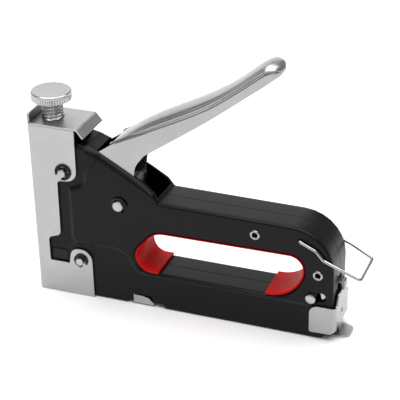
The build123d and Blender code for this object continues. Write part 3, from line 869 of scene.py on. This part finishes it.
def rear_cap():
    """The magazine's end plate, its side ears and the web down to the tongue."""
    rear, fold_r, outer = 172.8, 1.8, 12.4
    half_flat = outer - fold_r
    ear_reach = rear - 158.2
    back = half_flat + fold_r * pi / 2 - fold_r
    half = [
        (0, 1.3, 0),
        (3.0, 1.3, 0.6),
        (3.0, 7.0, 1.0),
        (outer - 1.6, 7.0, 1.5),
        (back + 3.0, 4.4, 1.5),
        (back + ear_reach, 4.0, 1.4),
        (back + ear_reach, 20.2, 4.5),
        (back + 3.4, 20.2, 2.0),
        (9.6, 20.2, 1.2),
        (8.0, 22.8, 1.5),
        (6.0, 26.2, 2.0),
        (0, 26.2, 0),
    ]
    path = smooth_path([Vector(p[:2]) for p in half], [p[2] for p in half], closed=False)
    folds = fold_lines(half_flat, fold_r, 0, 30)
    flat, faces = fill(mirrored(path), [ring(0, 13.4, 1.45, 24)], (), folds)
    points = []
    for u, z in flat:
        x, y = fold(u, half_flat, fold_r, outer)
        points.append((rear - x, y, z))
    piece(
        "rear_cap", points, faces, "lever_chrome", "magazine", "nickel_plate", thick=1.1, edge=0.22
    )


nose_cover()
top_plate()
rear_cap()


# ---- Handle --------------------------------------------------------------------------

tip_start, tip_end, tip_power = 130.5, 140.4, 2.8  # a higher power gives a squarer tip
lever_half, dome_half = 9.0, 9.9
# half of the crown's section from the groove (share of the half width, share of the height)
dome_section = [
    (0.909, 0.0),
    (0.872, 0.05),
    (0.846, 0.11),
    (0.846, 0.18),
    (0.890, 0.25),
    (0.945, 0.30),
    (0.985, 0.37),
    (0.985, 0.45),
    (0.950, 0.53),
    (0.900, 0.585),
    (0.862, 0.61),
    (0.840, 0.64),
    (0.790, 0.72),
    (0.690, 0.81),
    (0.550, 0.89),
    (0.370, 0.95),
    (0.190, 0.99),
    (0.0, 1.0),
]


def narrowing(x):
    """How much of its width the lever keeps towards its rounded tip."""
    t = min(max((x - tip_start) / (tip_end - tip_start), 0), 1)
    return sqrt(max(1 - t**tip_power, 0))


def handle():
    """The pressed lever: two flat sides with their ears, and a crown that bulges over both."""
    crown = [(48.6, 96.6), (56.0, 102.4), (70.6, 112.0), (97.3, 125.8), (113.3, 135.7)]
    crown += [(127.5, 147.0), (131.4, 149.5), (134.6, 150.4), (138.4, 149.2), (tip_end, 147.0)]
    groove = [(46.9, 94.6), (70.3, 105.6), (98.3, 120.0), (116.6, 132.6), (131.5, 144.2)]
    groove += [(136.4, 146.2), (tip_end, 145.9)]
    lower = [(66.0, 90.9), (99.2, 113.9), (120.0, 129.6), (136.0, 141.9), (139.2, 143.9)]
    lower += [(tip_end, 145.2)]
    crown, groove, lower = (
        spline([Vector(p) for p in line], 44, 2.0) for line in (crown, groove, lower)
    )
    boss = 7.6
    ear = [
        (60.2, 83.5, 12),
        (pivot_x + boss, pivot_z + 4, 3),
        (pivot_x + boss, pivot_z - boss, boss - 0.3),
        (pivot_x - boss, pivot_z - boss, boss - 0.3),
        (pivot_x - boss, pivot_z + 4, 6),
        (39.7, 89.5, 0.8),
    ]
    radii = [0, *[r for _, _, r in ear], 0]
    ear = smooth_path([lower[0], *[Vector(p[:2]) for p in ear], groove[0]], radii, closed=False)
    border = groove + list(reversed(lower)) + ear[1:-1]
    holes = [ring(pivot_x, pivot_z, pivot_bore), ring(57.0, 71.5, 1.65, 16)]
    flat, faces = fill(list(reversed(border)), holes)
    left = [(x, -lever_half * narrowing(x), z) for x, z in flat]
    right = [(x, lever_half * narrowing(x), z) for x, z in flat]
    rows = []
    for g, c in zip(groove, crown):
        half = []
        for width, height in dome_section:
            at = g.lerp(c, height)
            half.append((at.x, -dome_half * width * narrowing(at.x), at.y))
        rows.append(half + [(x, -y, z) for x, y, z in reversed(half[:-1])])
    dome_points, dome_faces = grid(rows)
    points, faces = join(
        (left, faces), (right, turned_over(faces)), (dome_points, turned_over(dome_faces))
    )
    piece(
        "handle",
        points,
        faces,
        "lever_chrome",
        "handle_lever",
        "nickel_plate",
        thick=0.9,
        edge=0.22,
        crease=50,
    )


handle()


# ---- Power screw ---------------------------------------------------------------------


def power_knob():
    """A knurled head on a screw with a real helical thread."""
    ridges, around = 48, 192
    # height, radius and depth of the knurl's grooves
    head = [
        (112.0, 6.0, 0),
        (112.0, 9.2, 0),
        (112.15, 9.9, 0.05),
        (112.5, 10.6, 0.3),
        (113.0, 10.95, 0.5),
        (114.0, 11.0, 0.55),
        (115.2, 11.0, 0.55),
        (115.7, 11.0, 0.3),
        (116.0, 10.98, 0.04),
        (116.15, 11.05, 0),
        (116.8, 11.05, 0),
        (117.1, 10.95, 0),
        (117.4, 10.6, 0),
        (117.5, 10.25, 0),
        (117.5, 9.9, 0),
        (117.42, 9.6, 0),
        (117.42, 5.0, 0),
        (117.42, 0.6, 0),
    ]
    rows = []
    for z, radius, cut in head:
        row = []
        for k in range(around):
            angle = 2 * pi * k / around
            r = radius - cut * (0.5 + 0.5 * cos(ridges * angle))
            row.append((knob_x + r * cos(angle), r * sin(angle), z))
        rows.append(row)
    pitch, depth, core, turned = 1.75, 0.75, 6.0, 40
    run_in, run_out, flank = 0.9, 1.2, 2.6
    foot, top = 91.2, 112.05
    thread = []
    count = int((top - foot) / (pitch / 8))
    for i in range(count + 1):
        z = foot + (top - foot) * i / count
        row = []
        for k in range(turned):
            angle = 2 * pi * k / turned
            phase = ((z - foot) / pitch - k / turned) % 1.0
            cut = min(1, abs(phase - 0.5) * flank) * depth
            lead = min(1, (z - foot) / run_in) * (1 if z < top - run_out else 0)
            r = core - depth + (depth - cut) * lead
            row.append((knob_x + r * cos(angle), r * sin(angle), z))
        thread.append(row)
    points, faces = join(capped(rows), capped(thread))
    piece("power_knob", points, faces, "knob_plate", "screw_body", "knob_plate", crease=22)


power_knob()


# ---- Springs -------------------------------------------------------------------------

along, upward = Vector((1, 0, 0)), Vector((0, 0, 1))
main_top = 88.6


def compression_spring(
    name, body, foot, axis, across, outer, wire, turns, length
):
    """A coil of round wire wound along an axis from its foot, with a closed turn at each end."""
    path = helix(Vector(foot), axis, across, outer - wire / 2, wire, turns, length)
    points, faces = tube(path, wire / 2, 8)
    made = piece(name, points, faces, "spring_steel", body, "spring_steel", crease=60)
    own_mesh(made)


compression_spring(
    "main_spring",
    "body",
    foot=(knob_x, 0, 46.55),
    axis=upward,
    across=along,
    outer=7.4,
    wire=2.2,
    turns=9,
    length=main_top - 46.6,
)
compression_spring(
    "pusher_spring",
    "magazine",
    foot=(17.6, 0, 9.4),
    axis=along,
    across=upward,
    outer=2.8,
    wire=0.6,
    turns=48,
    length=153.9,
)
compression_spring(
    "catch_spring",
    "body",
    foot=(161.5, 0, 23.6),
    axis=along,
    across=upward,
    outer=2.1,
    wire=0.5,
    turns=7,
    length=8.2,
)


def return_spring():
    """The handle's torsion spring: a close coil on the pivot with one long leg forward."""
    wire, outer, clearance = 1.2, 4.25, 0.04
    radius = outer - wire / 2
    turns, per_turn, coil_width = 2.75, 22, 2.45
    start = 3.5 + wire / 2
    count = int(turns * per_turn)
    path = []
    for i in range(count + 1):
        left = 1 - i / count
        angle = -pi / 2 - 2 * pi * turns * left
        x, z = pivot_x + radius * cos(angle), pivot_z + radius * sin(angle)
        path.append(Vector((x, start + left * coil_width, z)))
    path.append(Vector((pivot_x - 15.8, start, pivot_z - radius)))
    points, faces = tube(path, wire / 2 - clearance, 8)
    piece("return_spring", points, faces, "spring_steel", "body", "spring_steel", crease=60)


return_spring()


# ---- Wire bail -----------------------------------------------------------------------


def wire_bail():
    """The hanging bail: one round wire whose ends turn in through the shells."""
    fall = radians(-28.6)
    half, end_half = 13.35, 11.9
    # along the leg, above it, sideways, and the bend's radius
    leg = [
        (0, 0, 8.4, 0),
        (0, 0, half, 1.2),
        (10.0, 0.6, half, 4),
        (15.5, -1.6, half, 4),
        (24.5, -0.7, half, 6),
        (37.0, 0, end_half, 1.6),
    ]
    route, radii = [], []
    for sign, run in ((-1, leg), (1, leg[::-1])):
        for reach, lift, y, radius in run:
            x = bail_x + reach * cos(fall) - lift * sin(fall)
            z = bail_z + reach * sin(fall) + lift * cos(fall)
            route.append(Vector((x, sign * y, z)))
            radii.append(radius)
    path = smooth_path(route, radii, closed=False, steps=9)
    points, faces = tube(path, 0.85, 14)
    piece("wire_bail", points, faces, "bail_wire", "bail", "zinc_plate", crease=60)


wire_bail()


# ---- Grip insert ---------------------------------------------------------------------


def grip_insert():
    """The red liner round both ends of the hand slot, thin along its top."""
    open_start, open_end = 72.6, 133.8
    corners = [
        (open_end, 21.8, 0),
        *slot_corners[3:],
        *slot_corners[:3],
        (open_start, 21.8, 0),
    ]
    path = smooth_path(
        [Vector(c[:2]) for c in corners], [c[2] for c in corners], closed=False, steps=14
    )
    path = spaced(path)
    # section across the tool: half width, share of the liner's thickness
    profile = [(11.2, 0.0), (12.1, 0.02), (12.42, 0.12), (12.5, 0.32), (12.4, 0.58), (12.1, 0.82)]
    profile += [(11.6, 0.96), (10.9, 1.02), (10.5, 0.90), (10.1, 1.02), (6.0, 1.12), (0.0, 1.18)]
    loop = [(-y, t) for y, t in profile] + [(y, t) for y, t in reversed(profile[:-1])]
    seat, foot_thick, top_thins = 0.15, 1.2, 0.6
    rows = []
    for i, p in enumerate(path):
        run = heading(path, i)
        into = Vector((-run.y, run.x))
        thick = foot_thick - top_thins * ramp(p.y, 34, 46)
        wide = 1 - 0.055 * (1 - ramp(p.y, 22, 34))
        row = []
        for y, t in loop:
            at = p + into * (seat + thick * t)
            row.append((at.x, y * wide, at.y))
        rows.append(row)
    points, faces = capped(rows)
    piece("grip_insert", points, faces, "red_grip", "body", "red_grip", crease=62)


grip_insert()


# ---- Pins, clips and rivets ----------------------------------------------------------


def cross_pin(name, x, z, radius, reach, groove, rounding=0.55):
    """A plated pin right across the tool, grooved near both ends."""
    half = [
        (0.01, reach),
        (radius - rounding - 0.35, reach - 0.02),
        (radius - rounding, reach - 0.06),
        (radius - rounding * 0.35, reach - rounding * 0.35),
        (radius, reach - rounding),
        (radius, 13.32),
        (radius - groove, 13.3),
        (radius - groove, 12.5),
        (radius, 12.48),
    ]
    points, faces = lathe(x, z, half + [(r, -y) for r, y in reversed(half)])
    piece(name, points, faces, "pin_plate", "body", "zinc_plate", crease=35)


cross_pin("upper_pin", upper_x, upper_z, 2.3, 15.1, 0.5)
cross_pin("lower_pin", lower_x, lower_z, 2.3, 15.1, 0.5)
cross_pin("pivot_pin", pivot_x, pivot_z, 3.0, 14.5, 0.6)


def clip(x, z, hub, outer, turn):
    """A spring clip's outline: a broad open ring with three teeth on its inside."""
    gap, band = 0.92 * hub, 1.35  # half width of its mouth, and width of its ring
    mouth = np.arcsin(gap / outer)
    path = []
    for i in range(41):
        angle = radians(turn) + mouth + (2 * pi - 2 * mouth) * i / 40
        path.append(Vector((x + outer * cos(angle), z + outer * sin(angle))))
    mouth = np.arcsin(min(gap / (outer - band), 1))
    for i in range(61):
        angle = 2 * pi - mouth - (2 * pi - 2 * mouth) * i / 60
        from_tooth = min(abs(np.degrees(angle) - t) for t in (90, 180, 270))
        radius = hub + 0.03 if from_tooth < 17 else outer - band
        angle += radians(turn)
        path.append(Vector((x + radius * cos(angle), z + radius * sin(angle))))
    return path


def clips(name, entries):
    """Black spring clips in the grooves at both ends of some pins."""
    face_y = 13.28
    points, faces = [], []
    for entry in entries:
        flat, cells = fill(clip(*entry))
        for side in (-1, 1):
            made = [(p[0], side * face_y, p[1]) for p in flat]
            turned = cells if side < 0 else turned_over(cells)
            points, faces = join((points, faces), (made, turned))
    piece(name, points, faces, "black_oxide", "body", "dark_steel", thick=0.74, edge=0.13)


clips("pin_clips", [(upper_x, upper_z, 1.8, 4.7, 230), (lower_x, lower_z, 1.8, 4.1, 300)])
clips("pivot_clips", [(pivot_x, pivot_z, 2.4, 4.8, 330)])


def tubular_rivets():
    """Hollow rivets with rolled heads."""
    points, faces = [], []
    turns = [2 * pi * k / 36 for k in range(36)]
    # half of the section: radius and distance from the centre plane, up the bore and back
    half = [(1.45, 0.0), (1.45, 12.3), (1.55, 12.6), (1.8, 12.82), (2.15, 12.86), (2.5, 12.72)]
    half += [(2.75, 12.48), (2.8, 12.24), (2.0, 12.2), (2.0, 0.0)]
    loop = half + [(r, -y) for r, y in reversed(half[1:-1])]
    for x, z in rivets:
        rows = [
            [(x + r * cos(a), y, z + r * sin(a)) for a in turns] for r, y in [*loop, loop[0]]
        ]
        points, faces = join((points, faces), grid(rows, closed=True))
    piece(
        "tubular_rivets", points, faces, "rivet_plate", "body", "zinc_plate", crease=40, flip=True
    )


tubular_rivets()


def catch_pin():
    """The catch's thumb pin: a bright button on each side of a thinner middle."""
    half = [
        (0.01, 13.1),
        (1.9, 13.08),
        (2.3, 12.95),
        (2.7, 12.7),
        (2.85, 12.3),
        (2.85, 10.0),
        (2.2, 9.95),
    ]
    points, faces = lathe(catch_x, catch_z, half + [(r, -y) for r, y in reversed(half)])
    # half-round cheeks of the catch that show through the far end of its slot
    lug_x, lug_z, lug_r = 164.5, 26.3, 2.1
    inner, shoulder, outer, outer_share = 8.6, 10.4, 10.6, 0.86
    turns = np.linspace(-0.5 * pi, 0.62 * pi, 16)
    lug = [Vector((lug_x + lug_r * cos(a), lug_z + lug_r * sin(a))) for a in turns]
    for side in (-1, 1):
        rows = [[(p.x, side * reach, p.y) for p in lug] for reach in (inner, shoulder)]
        rows.append(
            [
                (
                    lug_x + (p.x - lug_x) * outer_share,
                    side * outer,
                    lug_z + (p.y - lug_z) * outer_share,
                )
                for p in lug
            ]
        )
        rows = rows if side > 0 else [row[::-1] for row in rows]
        lug_points, lug_faces = capped(rows)
        points, faces = join((points, faces), (lug_points, turned_over(lug_faces)))
    piece("catch_pin", points, faces, "pin_plate", "catch_body", "zinc_plate", crease=35)


catch_pin()


# ---- Floor, lights and camera --------------------------------------------------------


def stage_floor():
    """A plain pale sheet just under the tool."""
    reach, drop = 6.0, 0.0002
    corners = [(x, y, -drop) for x in (-reach, reach) for y in (-reach, reach)]
    mesh = bpy.data.meshes.new("floor")
    mesh.from_pydata(corners, [], [(0, 2, 3, 1)])
    floor = bpy.data.objects.new("floor", mesh)
    bpy.context.scene.collection.objects.link(floor)
    m = Nodes("floor")
    m.drive(Base_Color=m.blend(m.noise(3.0), (0.90, 0.90, 0.90), (0.88, 0.88, 0.88)))
    m.plain(Roughness=0.9)
    mesh.materials.append(m.material)


stage_floor()


def soft_light(name, at, aim, size, power):
    """A rectangular studio light that faces a point."""
    data = bpy.data.lights.new(name, "AREA")
    data.shape = "RECTANGLE"
    data.size, data.size_y = size
    data.energy = power
    lamp = bpy.data.objects.new(name, data)
    lamp.location = at
    lamp.rotation_euler = (Vector(aim) - Vector(at)).to_track_quat("-Z", "Y").to_euler()
    bpy.context.scene.collection.objects.link(lamp)


soft_light("overhead", at=(0, 0, 1.7), aim=(0, 0, 0), size=(2.4, 2.4), power=62.0)
soft_light("rear_panel", at=(-0.80, 1.35, 0.52), aim=(0, 0, 0.07), size=(1.9, 1.15), power=6.5)

world = bpy.data.worlds.new("studio")
world.use_nodes = True
sky = world.node_tree.nodes["Background"]
sky.inputs["Color"].default_value = (1, 1, 1, 1)
sky.inputs["Strength"].default_value = 0.38
bpy.context.scene.world = world
bpy.context.scene.view_settings.view_transform = "Standard"


def stage_camera():
    """The photograph's view: from the tool's left and rear, a little above."""
    turn, rise, roll = radians(21.84), radians(28.02), radians(-1.47)
    back = Vector((sin(turn) * cos(rise), -cos(turn) * cos(rise), sin(rise)))
    level = Vector((cos(turn), sin(turn), 0))
    over = back.cross(level)
    right = cos(roll) * level + sin(roll) * over
    up = -sin(roll) * level + cos(roll) * over
    distance, aside, above = 796.2, 85.70, 43.58
    at = place(*(aside * right + above * up + distance * back))
    data = bpy.data.cameras.new("camera")
    data.sensor_width = 36
    data.lens = 124.87
    data.clip_start = 0.05
    camera = bpy.data.objects.new("camera", data)
    rows = [[right[i], up[i], back[i], at[i]] for i in range(3)] + [[0, 0, 0, 1]]
    camera.matrix_world = Matrix(rows)
    bpy.context.scene.collection.objects.link(camera)
    bpy.context.scene.camera = camera


stage_camera()
